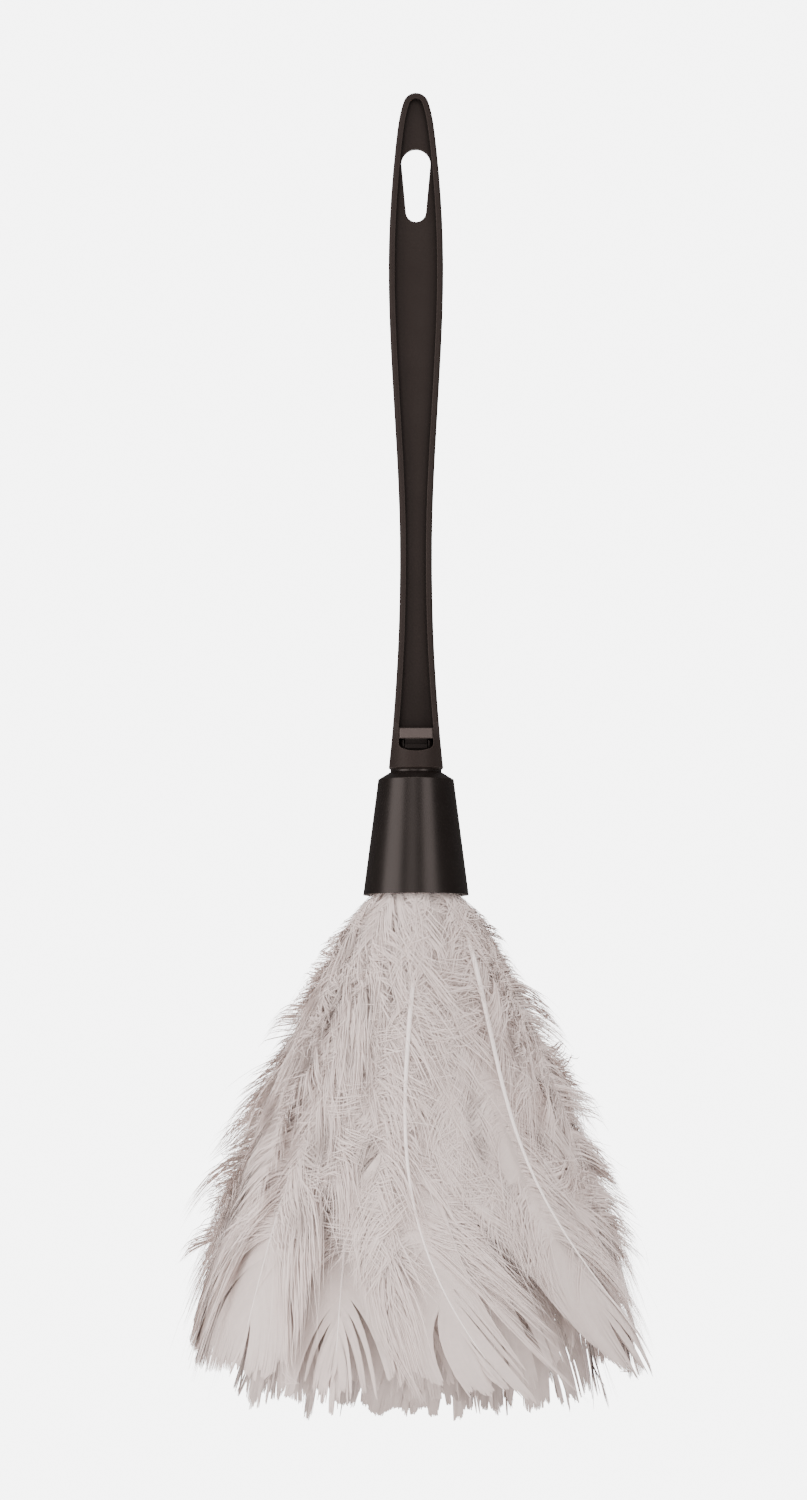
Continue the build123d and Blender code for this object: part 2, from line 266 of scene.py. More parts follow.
def featherMaterial(name, look, shade):
    # The tone attribute runs from deep to pale and also carries painted shade in the hollows and
    # under the tufts and a painted highlight on taller tufts, and the quill attribute marks the
    # shaft
    material, tree, shader = newMaterial(name)
    links = tree.links
    tone = addNode(tree, "ShaderNodeAttribute", attribute_name="tone")
    quill = addNode(tree, "ShaderNodeAttribute", attribute_name="quill")
    place = addNode(tree, "ShaderNodeTexCoord")
    mottle = addNode(tree, "ShaderNodeTexNoise")
    mottle.inputs["Scale"].default_value = look["mottleScale"]
    mottle.inputs["Detail"].default_value = look["mottleDetail"]
    mixTone = addNode(tree, "ShaderNodeMath", operation="MULTIPLY_ADD")
    mixTone.inputs[1].default_value = look["mottle"]
    colour = addNode(tree, "ShaderNodeMix", data_type="RGBA")
    colour.inputs["A"].default_value = (*[channel * shade for channel in look["deep"]], 1)
    colour.inputs["B"].default_value = (*[channel * shade for channel in look["pale"]], 1)
    withQuill = addNode(tree, "ShaderNodeMix", data_type="RGBA")
    withQuill.inputs["B"].default_value = (*look["quill"], 1)
    rough = addNode(tree, "ShaderNodeMapRange")
    rough.inputs["To Min"].default_value = look["roughness"]
    rough.inputs["To Max"].default_value = look["quillRoughness"]
    bump = addNode(tree, "ShaderNodeBump")
    bump.inputs["Strength"].default_value = look["bump"]
    bump.inputs["Distance"].default_value = look["bumpDepth"] * mm
    links.new(place.outputs["Object"], mottle.inputs["Vector"])
    links.new(mottle.outputs["Fac"], mixTone.inputs[0])
    links.new(tone.outputs["Fac"], mixTone.inputs[2])
    links.new(mixTone.outputs["Value"], colour.inputs["Factor"])
    links.new(colour.outputs["Result"], withQuill.inputs["A"])
    links.new(quill.outputs["Fac"], withQuill.inputs["Factor"])
    links.new(withQuill.outputs["Result"], shader.inputs["Base Color"])
    links.new(quill.outputs["Fac"], rough.inputs["Value"])
    links.new(rough.outputs["Result"], shader.inputs["Roughness"])
    links.new(mottle.outputs["Fac"], bump.inputs["Height"])
    links.new(bump.outputs["Normal"], shader.inputs["Normal"])
    shader.inputs["Sheen Weight"].default_value = look["sheen"]
    shader.inputs["Specular IOR Level"].default_value = look["specular"]
    return material


featherMaterials = {course: featherMaterial(course + "Feather", featherLook, shade)
                    for course, shade in courseShades.items()}

# From here to the hidden parts every length is in mm
mouthZ = -294.7
collarInside = 18.6
# The line of each course's blades, as (out from the axis, below the collar's mouth), how many
# barbs of each kind a feather has, half its width and the radius of its quill
courses = {
    "outer": {"count": 16, "line": ((14.0, 0.0), (25.5, 22.0), (56.0, 88.0), (87.0, 189.0)),
              "downy": 3500, "web": 360, "firm": 560, "half": 27.0, "quill": 1.25},
    "middle": {"count": 14, "line": ((10.5, 0.0), (19.5, 26.0), (38.0, 92.0), (61.0, 200.0)),
               "downy": 900, "web": 240, "firm": 420, "half": 24.0, "quill": 1.15},
    "inner": {"count": 10, "line": ((7.2, 0.0), (10.5, 30.0), (18.0, 95.0), (32.0, 206.0)),
              "downy": 400, "web": 200, "firm": 360, "half": 20.0, "quill": 1.05},
}
spineSteps = 240
barbSteps = 7


def spineOf(line, longer):
    # A smooth line through the four points, sampled evenly along its length
    points = np.array([(out, mouthZ - below) for out, below in line], float)
    step = points[3] - points[2]
    points[3] += step / np.linalg.norm(step) * longer
    chord = np.concatenate([[0], np.cumsum(np.linalg.norm(np.diff(points, axis=0), axis=1))])
    t = np.linspace(0, chord[-1], spineSteps)
    smooth = np.zeros((spineSteps, 2))
    for axis in (0, 1):
        smooth[:, axis] = sum(
            points[i, axis] * np.prod([(t - chord[j]) / (chord[i] - chord[j])
                                       for j in range(4) if j != i], axis=0)
            for i in range(4))
    run = np.concatenate([[0], np.cumsum(np.linalg.norm(np.diff(smooth, axis=0), axis=1))])
    return run, smooth


def bezier(start, control, end):
    t = np.linspace(0, 1, barbSteps)[None, :, None]
    fromStart = ((1 - t) ** 2) * start[:, None]
    fromControl = 2 * t * (1 - t) * control[:, None]
    return fromStart + fromControl + t * t * end[:, None]


def ease(x, low, high):
    t = np.clip((x - low) / (high - low), 0, 1)
    return t * t * (3 - 2 * t)


# How loose down lies. Reach and droop are shares of the blade's half width; "Tuft" values
# are what a whole tuft shares and "Own" values are each barb's own scatter. Taller tufts get a
# painted highlight in their tone
downShape = {"abreast": 6, "spread": 1.3, "growOver": 0.25, "scatter": 0.6,
             "looseScatter": 1.3, "reach": 0.46, "reachGrow": 0.36, "reachTuft": 0.25,
             "reachOwn": 0.12, "droop": 1.0, "droopTuft": 0.5, "droopOwn": 0.16,
             "droopAlong": 0.25, "rise": 0.1, "riseTuft": 1.1, "riseOwn": 0.18,
             "riseAlong": 0.05, "bowAcross": 0.55, "bowAlong": 0.16, "bowAlongTuft": 0.05,
             "bowUp": 0.75, "liftLoss": 0.7, "phase": 6.28, "phaseOwn": 0.12,
             "swayAcross": 1.7, "turnAcross": 4, "swayAlong": 3.0, "turnAlong": 5.4,
             "turnTuft": 1.5, "swayUp": 0.7, "swayUpLoose": 1.2, "turnUp": 3,
             "nearest": 0.4, "past": 2, "along": (0, 0.3, 0.8, 1),
             "width": (0.8, 1.0, 0.7, 0.12), "thick": 1.15, "looseThin": 0.5,
             "thickOwn": 0.25, "thinnest": 0.3, "thickest": 2, "tone": 0.5,
             "toneTuft": 0.07, "toneOwn": 0.05, "tallTuftHighlight": 0.10}
# A few tufts stand off sideways and break the outline
wispShape = {"droop": 0.35, "droopTuft": 0.5, "rise": 3, "riseTuft": 7, "above": 0.6,
             "below": 0.4}


def downyBarbs(rng, count, length, half, look):
    # Loose, long barbs on the upper part, in soft tufts that share a lean and a height
    down, stray = downShape, wispShape
    top, bottom = look["downyFrom"] * length, look["downyTo"] * length
    tufts = int((bottom - top) / look["tuft"]) * down["abreast"]
    centre = top + (bottom - top) * (np.arange(tufts) + rng.random(tufts)) / tufts
    tuftSide = np.where(np.arange(tufts) % 2 == 0, -1.0, 1.0)
    tuftLean = rng.normal(0, 1, (tufts, 4))
    tuftHeight = rng.random(tufts)
    pick = rng.integers(0, tufts, count)
    own = rng.uniform(-1, 1, count)
    loose = (rng.random(count) < look["flyaway"]).astype(float)
    side, lean, tall = tuftSide[pick], tuftLean[pick], tuftHeight[pick]
    y = np.clip(centre[pick] + own * look["tuft"] * down["spread"], top, bottom)
    grow = ease(y, 0, down["growOver"] * length)
    scatter = down["scatter"] + down["looseScatter"] * loose
    jitter = rng.normal(0, 1, (count, 4)) * scatter[:, None]
    wisp = (rng.random(tufts) < look["wisps"])[pick]
    long = half * (down["reach"] + down["reachGrow"] * grow)
    long = long * (1 + down["reachTuft"] * lean[:, 0] + down["reachOwn"] * jitter[:, 0])
    hang = down["droop"] + down["droopTuft"] * lean[:, 1] + down["droopOwn"] * jitter[:, 1]
    droop = long * hang - own * look["tuft"] * down["droopAlong"]
    out = look["puff"] * (down["rise"] + down["riseTuft"] * tall
                          + down["riseOwn"] * jitter[:, 2] + down["riseAlong"] * own)
    droop = np.where(wisp, long * (stray["droop"] + stray["droopTuft"] * tall), droop)
    standOff = wisp * (stray["rise"] + stray["riseTuft"] * tall)
    out = out + standOff * (stray["above"] + stray["below"] * grow)
    start = np.stack([np.zeros(count), y, np.zeros(count)], 1)
    end = np.stack([side * long, y + droop, out], 1)
    bow = down["bowAlong"] + down["bowAlongTuft"] * lean[:, 3]
    lifted = out * down["bowUp"] + look["lift"] * (1 - down["liftLoss"] * grow)
    control = np.stack([side * long * down["bowAcross"], y + droop * bow, lifted], 1)
    path = bezier(start, control, end)
    t = np.linspace(0, 1, barbSteps)[None]
    phase = down["phase"] * (tall[:, None] + down["phaseOwn"] * jitter[:, 3:])
    wave = np.sin(t * (down["turnAlong"] + down["turnTuft"] * lean[:, 2:3]) + phase)
    swayUp = down["swayUp"] + down["swayUpLoose"] * loose
    path[:, :, 0] += np.cos(t * down["turnAcross"] + phase) * t * down["swayAcross"]
    path[:, :, 1] += wave * t * down["swayAlong"]
    path[:, :, 2] += np.cos(t * down["turnUp"] + phase) * t * swayUp[:, None]
    path[:, :, 1] = np.clip(path[:, :, 1], down["nearest"], length + down["past"])
    thick = down["thick"] - down["looseThin"] * loose + down["thickOwn"] * rng.normal(0, 1, count)
    thick = thick[:, None].clip(down["thinnest"], down["thickest"])
    radius = np.interp(t[0], down["along"], down["width"])[None] * thick
    tone = down["tone"] + down["toneTuft"] * lean[:, 3] + down["toneOwn"] * rng.normal(0, 1, count)
    # Taller tufts are painted lighter, a painted highlight
    return path, radius, tone + down["tallTuftHighlight"] * (tall - 0.5)


# The web's low tone is painted shade: it stands darker for the shade under the tufts
webShape = {"strand": 0.5, "past": 0.05, "reach": 0.5, "reachGrow": 0.35, "growOver": 0.25,
            "reachOwn": 0.05, "droop": 0.9, "low": -1.0, "lowOwn": 0.15, "root": -0.5,
            "bowAcross": 0.55, "bowAlong": 0.18, "along": (0, 0.6, 1),
            "width": (1.5, 1.8, 0.5), "tone": 0.12, "toneOwn": 0.05}


def webBarbs(rng, count, length, half, look):
    # A close, smooth layer under the tufts, so that nothing shows through, painted darker as shade
    web = webShape
    rows = count // 2
    total = rows * 2
    u = np.repeat((np.arange(rows) + 0.5) / rows, 2)
    side = np.tile([-1.0, 1.0], rows)
    y = length * (look["downyFrom"] + (look["downyTo"] + web["past"] - look["downyFrom"]) * u)
    long = half * (web["reach"] + web["reachGrow"] * ease(y, 0, web["growOver"] * length))
    long = long * (1 + web["reachOwn"] * rng.normal(0, 1, total))
    droop = long * web["droop"]
    low = web["low"] + web["lowOwn"] * rng.normal(0, 1, total)
    start = np.stack([np.zeros(total), y, np.full(total, web["root"])], 1)
    end = np.stack([side * long, y + droop, low], 1)
    control = np.stack([side * long * web["bowAcross"], y + droop * web["bowAlong"], low], 1)
    path = bezier(start, control, end)
    width = np.interp(np.linspace(0, 1, barbSteps), web["along"], web["width"])
    radius = np.repeat(width[None], total, 0)
    return path, radius, web["tone"] + web["toneOwn"] * rng.normal(0, 1, total)


firmShape = {"strand": 0.5, "closeFrom": 0.35, "across": 0.85, "belly": 0.25,
             "bellyTurn": 2.2, "closing": 1.6, "slant": 0.16, "tipLoss": 0.02,
             "cutCrowding": 0.55, "narrowest": 0.3, "splitApart": 0.8, "perNotch": 8,
             "raggedOwn": 0.3, "splitRound": 0.8, "past": 6, "curlSplit": 1.6,
             "curlOwn": 0.12, "bowAcross": 0.72, "bowAlong": 0.32, "bowUp": 0.3,
             "bowUpOwn": 0.05, "along": (0, 0.5, 0.93, 1), "width": (1.1, 1.3, 1.1, 0.3),
             "tone": 0.12, "toneSplit": 0.12, "toneOwn": 0.05}


def firmBarbs(rng, count, length, half, look):
    # Firm barbs of the lower vane, laid side by side, that part into a few splits
    vane = firmShape
    rows = count // 2
    parts = []
    for side in (-1.0, 1.0):
        wide = half * look["vane"][0 if side < 0 else 1]
        u = np.linspace(0, 1, rows)
        y = length * (look["firmFrom"] + (look["rachisTo"] - look["firmFrom"]) * u)
        close = ease(u, vane["closeFrom"], 1.0)
        across = wide * (vane["across"] + vane["belly"] * np.sin(u * vane["bellyTurn"]))
        across = across * (1 - close ** vane["closing"])
        reach = y + (1 - u) * vane["slant"] * length + u * (length - y)
        reach = np.minimum(reach, length * (1.0 - vane["tipLoss"] * u))
        # The cuts crowd towards the tip, and each group between two of them hangs its own way
        cuts = np.sort(rng.random(look["splits"]) ** vane["cutCrowding"])
        group = np.searchsorted(cuts, u)
        shift = rng.normal(0, 1, (look["splits"] + 1, 3))[group]
        inGroup = np.zeros(rows)
        for number in range(look["splits"] + 1):
            chosen = np.where(group == number)[0]
            if len(chosen):
                inGroup[chosen] = np.linspace(-1, 1, len(chosen))
        across = np.maximum(across + inGroup * look["gather"] * close, vane["narrowest"])
        across = np.abs(across + shift[:, 0] * vane["splitApart"])
        reach = reach - inGroup * look["gather"] * (1 - close)
        perNotch = vane["perNotch"]
        notch = np.repeat(rng.normal(0, 1, rows // perNotch + 1), perNotch)[:rows]
        ragged = rng.normal(0, vane["raggedOwn"], rows) + shift[:, 1] * look["ragged"]
        ragged = ragged - inGroup ** 2 * vane["splitRound"] + notch * look["notches"]
        furthest = np.minimum(reach + ragged, length + vane["past"])
        curl = look["curl"] + shift[:, 2] * vane["curlSplit"]
        curl = curl + rng.normal(0, vane["curlOwn"], rows)
        bow = vane["bowUp"] + rng.normal(0, vane["bowUpOwn"], rows)
        start = np.stack([np.zeros(rows), y, np.zeros(rows)], 1)
        end = np.stack([side * across, furthest, curl], 1)
        control = np.stack([side * across * vane["bowAcross"],
                            y + (reach - y) * vane["bowAlong"], bow], 1)
        path = bezier(start, control, end)
        width = np.interp(np.linspace(0, 1, barbSteps), vane["along"], vane["width"])
        radius = np.repeat(width[None], rows, 0)
        tone = vane["tone"] + vane["toneSplit"] * shift[:, 2]
        tone = tone + vane["toneOwn"] * rng.normal(0, 1, rows)
        parts.append((path, radius, tone))
    return tuple(np.concatenate([part[i] for part in parts]) for i in range(3))


def ribbons(name, path, radius, halfWidth):
    # Flat ribbons along the paths, turned into one mesh
    curve = bpy.data.curves.new(name, "CURVE")
    curve.dimensions = "3D"
    curve.twist_mode = "Z_UP"
    curve.extrude = halfWidth * mm
    steps = path.shape[1]
    place = np.concatenate([path * mm, np.ones((*path.shape[:2], 1))], 2).astype(np.float32)
    turned = np.full(steps, math.pi / 2, np.float32)
    for row in range(len(path)):
        spline = curve.splines.new("POLY")
        spline.points.add(steps - 1)
        spline.points.foreach_set("co", place[row].ravel())
        spline.points.foreach_set("radius", radius[row].astype(np.float32))
        spline.points.foreach_set("tilt", turned)
        spline.use_smooth = True
    holder = bpy.data.objects.new(name, curve)
    mesh = bpy.data.meshes.new_from_object(holder)
    bpy.data.objects.remove(holder)
    bpy.data.curves.remove(curve)
    return mesh


shaftShape = {"sides": 8, "steps": 40, "taper": 0.86, "taperPower": 1.1, "flatness": 0.85}


def rachisMesh(name, length, thick, look):
    # The bare shaft: round above, thin and flat towards the tip
    bm = bmesh.new()
    bmesh.ops.create_circle(bm, cap_ends=True, segments=shaftShape["sides"], radius=thick * mm)
    alongY = Matrix.Rotation(math.pi / 2, 3, "X")
    bmesh.ops.rotate(bm, verts=bm.verts, cent=(0, 0, 0), matrix=alongY)
    steps = shaftShape["steps"]
    end = length * look["rachisTo"]
    start = -look["hidden"]
    bmesh.ops.translate(bm, verts=bm.verts, vec=(0, start * mm, 0))
    face = bm.faces[:][0]
    for _ in range(steps):
        grown = bmesh.ops.extrude_face_region(bm, geom=[face])
        ring = [v for v in grown["geom"] if isinstance(v, bmesh.types.BMVert)]
        faces = [f for f in grown["geom"] if isinstance(f, bmesh.types.BMFace)]
        bmesh.ops.delete(bm, geom=[face], context="FACES_ONLY")
        face = faces[0]
        bmesh.ops.translate(bm, verts=ring, vec=(0, (end - start) / steps * mm, 0))
    for vert in bm.verts:
        share = min(max(vert.co.y / (end * mm), 0), 1)
        slim = 1 - shaftShape["taper"] * share ** shaftShape["taperPower"]
        vert.co.x *= slim
        rise = min(max((share - look["shaftFrom"]) * look["shaftRise"], 0), 1)
        vert.co.z = vert.co.z * slim * shaftShape["flatness"] + look["shaftUp"] * mm * rise
    bmesh.ops.recalc_face_normals(bm, faces=bm.faces)
    mesh = bpy.data.meshes.new(name)
    bm.to_mesh(mesh)
    bm.free()
    for face in mesh.polygons:
        face.use_smooth = True
    return mesh


def readPoints(mesh):
    flat = np.empty(len(mesh.vertices) * 3, np.float32)
    mesh.vertices.foreach_get("co", flat)
    return flat.reshape(-1, 3).astype(float)


def writePoints(mesh, points):
    mesh.vertices.foreach_set("co", points.astype(np.float32).ravel())
    mesh.update()


def addValue(mesh, name, values):
    attribute = mesh.attributes.new(name, "FLOAT", "POINT")
    attribute.data.foreach_set("value", values.astype(np.float32))


# Small drawn-out hollows in the down, sunk into it and painted with shade: (across, below the
# mouth, width, height) on the front, and more of them scattered round the rest of the skirt
frontHollows = ((-21, 22, 1.6, 5), (-27, 42, 2.2, 5), (-16, 43, 1.8, 4), (-32, 54, 2.0, 3),
                (-39, 67, 3.0, 3), (-22, 65, 1.8, 3), (-45, 86, 1.4, 3), (-34, 100, 4.5, 6),
                (-16, 105, 2.8, 5), (23, 100, 2.2, 5), (20, 84, 1.5, 5), (-39, 129, 4.0, 4),
                (33, 108, 2.5, 6), (44, 96, 1.3, 4), (34, 60, 1.6, 4))
# The scattered ones: where they may lie in mm below the mouth and degrees from the right side,
# their least and greatest width and height, and how strong they are
# Each hollow sinks by "depth" in mm, and "shade" is how much painted shade darkens its tone
hollowLook = {"frontStrength": 0.8, "seed": 41, "scattered": 60, "down": (14, 135),
              "turn": (-20, 200), "least": (1.4, 3), "most": (3.5, 6.5),
              "strength": (0.25, 0.6), "spread": 1.4, "depth": 5.0, "shade": 0.85}


def hollowPlaces(look):
    # Each as (angle, below the mouth, width, height, strength)
    spine = spineOf(courses["outer"]["line"], 0)[1]
    below = mouthZ - spine[:, 1]
    rng = np.random.default_rng(look["seed"])
    places = []
    for across, down, wide, tall in frontHollows:
        radius = np.interp(down, below, spine[:, 0])
        angle = math.asin(across / radius) - math.pi / 2
        places.append((angle, down, wide, tall, look["frontStrength"]))
    for _ in range(look["scattered"]):
        down = rng.uniform(*look["down"])
        angle = math.radians(rng.uniform(*look["turn"]))
        wide, tall = rng.uniform(look["least"], look["most"])
        places.append((angle, down, wide, tall, rng.uniform(*look["strength"])))
    return places


hollows = hollowPlaces(hollowLook)


def hollowDepth(points):
    # 1 in the middle of a hollow and 0 away from them all
    px, py, high = points.T / mm
    radius = np.hypot(px, py)
    angle = np.arctan2(py, px)
    spread = hollowLook["spread"]
    depth = np.zeros(len(points))
    for place, down, wide, tall, strength in hollows:
        offset = (angle - place + math.pi) % (2 * math.pi) - math.pi
        across = offset * radius / wide / spread
        along = (mouthZ - high - down) / tall / spread
        depth += strength * np.exp(-across ** 2 - along ** 2)
    return np.minimum(depth, 1.0)


# How the skirt holds a feather: the least radius it wraps round, the room kept inside the
# collar's mouth and how fast that room opens below it, and the shares of the length between
# which a feather sinks or over which it bends
skirtShape = {"closest": 8, "clearance": 0.4, "opening": 1.3, "cornerPower": 6,
              "sinkFrom": 0.1, "sinkTo": 0.8, "bendTo": 1.1}


def bendToSkirt(points, run, spine, length, angle, look):
    # From the flat feather (across, along, up) to its place on the skirt
    skirt = skirtShape
    x, y, up = points.T / mm
    along = np.clip(y, 0, run[-1])
    past = y - along
    out = np.interp(along, run, spine[:, 0])
    high = np.interp(along, run, spine[:, 1])
    slopeOut = np.interp(along, run, np.gradient(spine[:, 0], run))
    slopeHigh = np.interp(along, run, np.gradient(spine[:, 1], run))
    size = np.hypot(slopeOut, slopeHigh)
    slopeOut, slopeHigh = slopeOut / size, slopeHigh / size
    share = y / length
    # Above the mouth the quill runs straight up
    inside = past < 0
    out = out + np.where(inside, 0, past * slopeOut)
    high = high + np.where(inside, -past, past * slopeHigh)
    # An even start, a steady turn along the feather and a stronger one near its tip
    even, steady, late = look["bend"]
    turn = angle + np.radians(even + steady * share
                              + late * np.clip(share, 0, skirt["bendTo"]) ** 3)
    twist = look["twist"] * math.pi / 180 * np.clip(share, 0, 1)
    up = up + x * np.sin(twist)
    out = out - look["sink"] * ease(share, skirt["sinkFrom"], skirt["sinkTo"])
    out = out - up * slopeHigh
    high = high + up * slopeOut
    around = np.maximum(out, skirt["closest"])
    wrap = np.arctan2(x, around) * look["wrap"]
    rest = x - wrap * around
    # Keep what is near the collar inside its mouth
    power = skirt["cornerPower"]
    room = collarInside - skirt["clearance"]
    limit = room + np.maximum(mouthZ - high, 0) * skirt["opening"]
    reach = np.hypot(out, rest)
    squeeze = (1 + (reach / limit) ** power) ** (-1 / power)
    squeeze = np.where(points[:, 1] < 0, 1, squeeze)
    out, rest = out * squeeze, rest * squeeze
    face = turn + wrap
    px = out * np.cos(face) - rest * np.sin(face)
    py = out * np.sin(face) + rest * np.cos(face)
    lean = turn + np.arctan2(x, np.maximum(out, skirt["closest"]))
    outward = np.stack([-slopeHigh * np.cos(lean), -slopeHigh * np.sin(lean), slopeOut], 1)
    return np.stack([px, py, high], 1) * mm, outward


def joinMeshes(name, meshes):
    # One mesh, turned while still flat so that its faces point out once it is on the skirt,
    # where across, along and up are a left-handed set
    bm = bmesh.new()
    for mesh in meshes:
        bm.from_mesh(mesh)
    shaftStart = sum(len(mesh.polygons) for mesh in meshes[:-1])
    bm.faces.ensure_lookup_table()
    bm.normal_update()
    turned = [face for face in bm.faces if face.index >= shaftStart or face.normal.z > 0]
    bmesh.ops.reverse_faces(bm, faces=turned)
    joined = bpy.data.meshes.new(name)
    bm.to_mesh(joined)
    bm.free()
    for mesh in meshes:
        bpy.data.meshes.remove(mesh)
    joined.polygons.foreach_set("use_smooth", np.ones(len(joined.polygons), bool))
    return joined


def softenNormals(mesh, outward, amount):
    # Loose barbs shade as one soft mass: their normals lean towards the skirt's own
    own = np.empty(len(mesh.vertices) * 3, np.float32)
    mesh.vertices.foreach_get("normal", own)
    own = own.reshape(-1, 3)
    mixed = own * (1 - amount)[:, None] + outward * amount[:, None]
    mixed /= np.maximum(np.linalg.norm(mixed, axis=1), 1e-6)[:, None]
    mesh.normals_split_custom_set_from_vertices(mixed.tolist())


# One feather's own values: bends, sink, puff, lift and lengths in degrees or mm, and where
# its down, firm barbs and bare shaft begin or end as shares of its length
plainFeather = {"bend": (0, 0, 0), "sink": 0.0, "wrap": 0.6, "vane": (1.0, 1.0),
                "downyFrom": 0.0, "downyTo": 0.72, "firmFrom": 0.5, "rachisTo": 0.93,
                "puff": 6.5, "lift": 5.0, "tuft": 5.0, "flyaway": 0.22, "strand": 0.24,
                "wisps": 0.12, "splits": 6, "gather": 2.2, "ragged": 2.4, "notches": 1.0,
                "curl": 0.5, "shaftUp": 0.0, "shaftFrom": 0.0, "shaftRise": 14.0,
                "hidden": 26.0}
# What sets single feathers of the outer course apart, counted from the middle of the front
outerFeathers = {
    0: {"bend": (2, -21.5, 41.4), "vane": (1.15, 0.5), "splits": 5, "shaftUp": 6.3,
        "shaftFrom": 0.08, "shaftRise": 7.0, "puff": 2.5, "lift": 1.0, "longer": 9.0,
        "sink": -7.0, "twist": 0.0, "wisps": 0.0},
    1: {"sink": 12.0, "bend": (0, 2, 0), "longer": 4.0, "wisps": 0.0},
    2: {"bend": (4, -50, 79), "shaftUp": 6.3, "puff": 2.5, "lift": 1.0, "vane": (1.0, 0.7),
        "sink": -6.0, "twist": 0.0, "wisps": 0.0, "longer": 3.0},
    3: {"wisps": 0.22},
    4: {"wisps": 0.25},
    5: {"wisps": 0.2},
    11: {"wisps": 0.2},
    12: {"wisps": 0.25},
    13: {"sink": 8.0, "longer": -6.0, "wisps": 0.22},
    14: {"vane": (1.7, 1.1), "splits": 2, "ragged": 1.2, "longer": 2.0, "sink": -3.0,
         "wisps": 0.0, "bend": (0, -2, -4)},
    15: {"splits": 13, "gather": 2.5, "ragged": 4.5, "longer": 10.0, "wisps": 0.0,
         "bend": (0, 0, 2)},
}
# How much one feather differs from the next by chance, and how its tones and normals are set
featherMake = {"seedStep": 1000, "seedStart": 7, "twist": 7.0, "twistScatter": 2,
               "bendScatter": (2, 3, 4), "downWidth": 1.15, "softDown": 0.58,
               "softFirm": 0.3, "shaftTone": 0.5, "toneLow": 0.48, "toneRange": 0.48,
               "lengthSteps": (0.0, -3.0, 1.5, -5.0, 2.0, -1.5),
               "sinkSteps": (-13.0, 3.0, -7.0, 8.0)}


def featherValues(courseName, number, rng):
    lengthSteps, sinkSteps = featherMake["lengthSteps"], featherMake["sinkSteps"]
    look = dict(plainFeather)
    look["longer"] = lengthSteps[number % len(lengthSteps)]
    look["twist"] = featherMake["twist"] + rng.normal(0, featherMake["twistScatter"])
    look["bend"] = tuple(rng.normal(0, scatter) for scatter in featherMake["bendScatter"])
    if courseName == "outer":
        look.update(outerFeathers.get(number, {}))
    else:
        # The courses inside stand in and out by turns, so that the skirt is full from below
        look["sink"] = sinkSteps[number % len(sinkSteps)]
    return look


def makeFeather(courseName, number):
    course = courses[courseName]
    seed = featherMake["seedStep"] * sorted(courses).index(courseName)
    rng = np.random.default_rng(seed + number + featherMake["seedStart"])
    look = featherValues(courseName, number, rng)
    run, spine = spineOf(course["line"], look["longer"])
    length = run[-1]
    angle = math.radians(360 / course["count"] * number - 90)
    name = f"feather_{courseName}_{number + 1:02d}"
    downHalf = course["half"] * featherMake["downWidth"]
    downy = downyBarbs(rng, course["downy"], length, downHalf, look)
    firm = firmBarbs(rng, course["firm"], length, course["half"], look)
    web = webBarbs(rng, course["web"], length, course["half"], look)
    soft = ribbons(name + "_soft", downy[0], downy[1], look["strand"])
    under = ribbons(name + "_web", web[0], web[1], webShape["strand"])
    stiff = ribbons(name + "_stiff", firm[0], firm[1], firmShape["strand"])
    shaft = rachisMesh(name + "_shaft", length, course["quill"], look)
    # One value for each point, in the order soft, under, stiff, shaft
    loose = len(soft.vertices) + len(under.vertices)
    barbs = loose + len(stiff.vertices)
    shaftPoints = len(shaft.vertices)
    tones = np.concatenate([np.repeat(part[2], barbSteps * 2) for part in (downy, web, firm)]
                           + [np.full(shaftPoints, featherMake["shaftTone"])])
    quills = np.concatenate([np.zeros(barbs), np.ones(shaftPoints)])
    softness = np.concatenate([np.full(loose, featherMake["softDown"]),
                               np.full(barbs - loose, featherMake["softFirm"]),
                               np.zeros(shaftPoints)])
    mesh = joinMeshes(name + "_barbs", [soft, under, stiff, shaft])
    points, outward = bendToSkirt(readPoints(mesh), run, spine, length, angle, look)
    hollow = hollowDepth(points) * (np.arange(len(points)) < loose)
    tones = featherMake["toneLow"] + featherMake["toneRange"] * tones
    # Painted shade in the hollows, which are also sunk below
    tones = tones - hollowLook["shade"] * hollow
    points -= outward * (hollowLook["depth"] * mm * hollow)[:, None]
    writePoints(mesh, points)
    softenNormals(mesh, outward, softness)
    addValue(mesh, "tone", tones)
    addValue(mesh, "quill", quills)
    return makePiece(name + "_plume", mesh, featherMaterials[courseName], "head", [name])


for courseName, course in courses.items():
    total = 0
    for number in range(course["count"]):
        piece = makeFeather(courseName, number)
        total += sum(len(face.vertices) - 2 for face in piece.data.polygons)
    say(f"{courseName} feathers, {total} triangles")


# Hidden parts inside the collar keep their solids, with plain procedural finishes

hiddenLooks = {
    "coreWood": {"dark": (0.30, 0.18, 0.09), "light": (0.48, 0.32, 0.18), "scale": 300,
                 "roughness": 0.7, "metallic": 0},
    "glue": {"dark": (0.35, 0.22, 0.08), "light": (0.5, 0.34, 0.15), "scale": 200,
             "roughness": 0.25, "metallic": 0},
    "tieWire": {"dark": (0.45, 0.45, 0.44), "light": (0.6, 0.6, 0.6), "scale": 800,
                "roughness": 0.35, "metallic": 1.0},
}


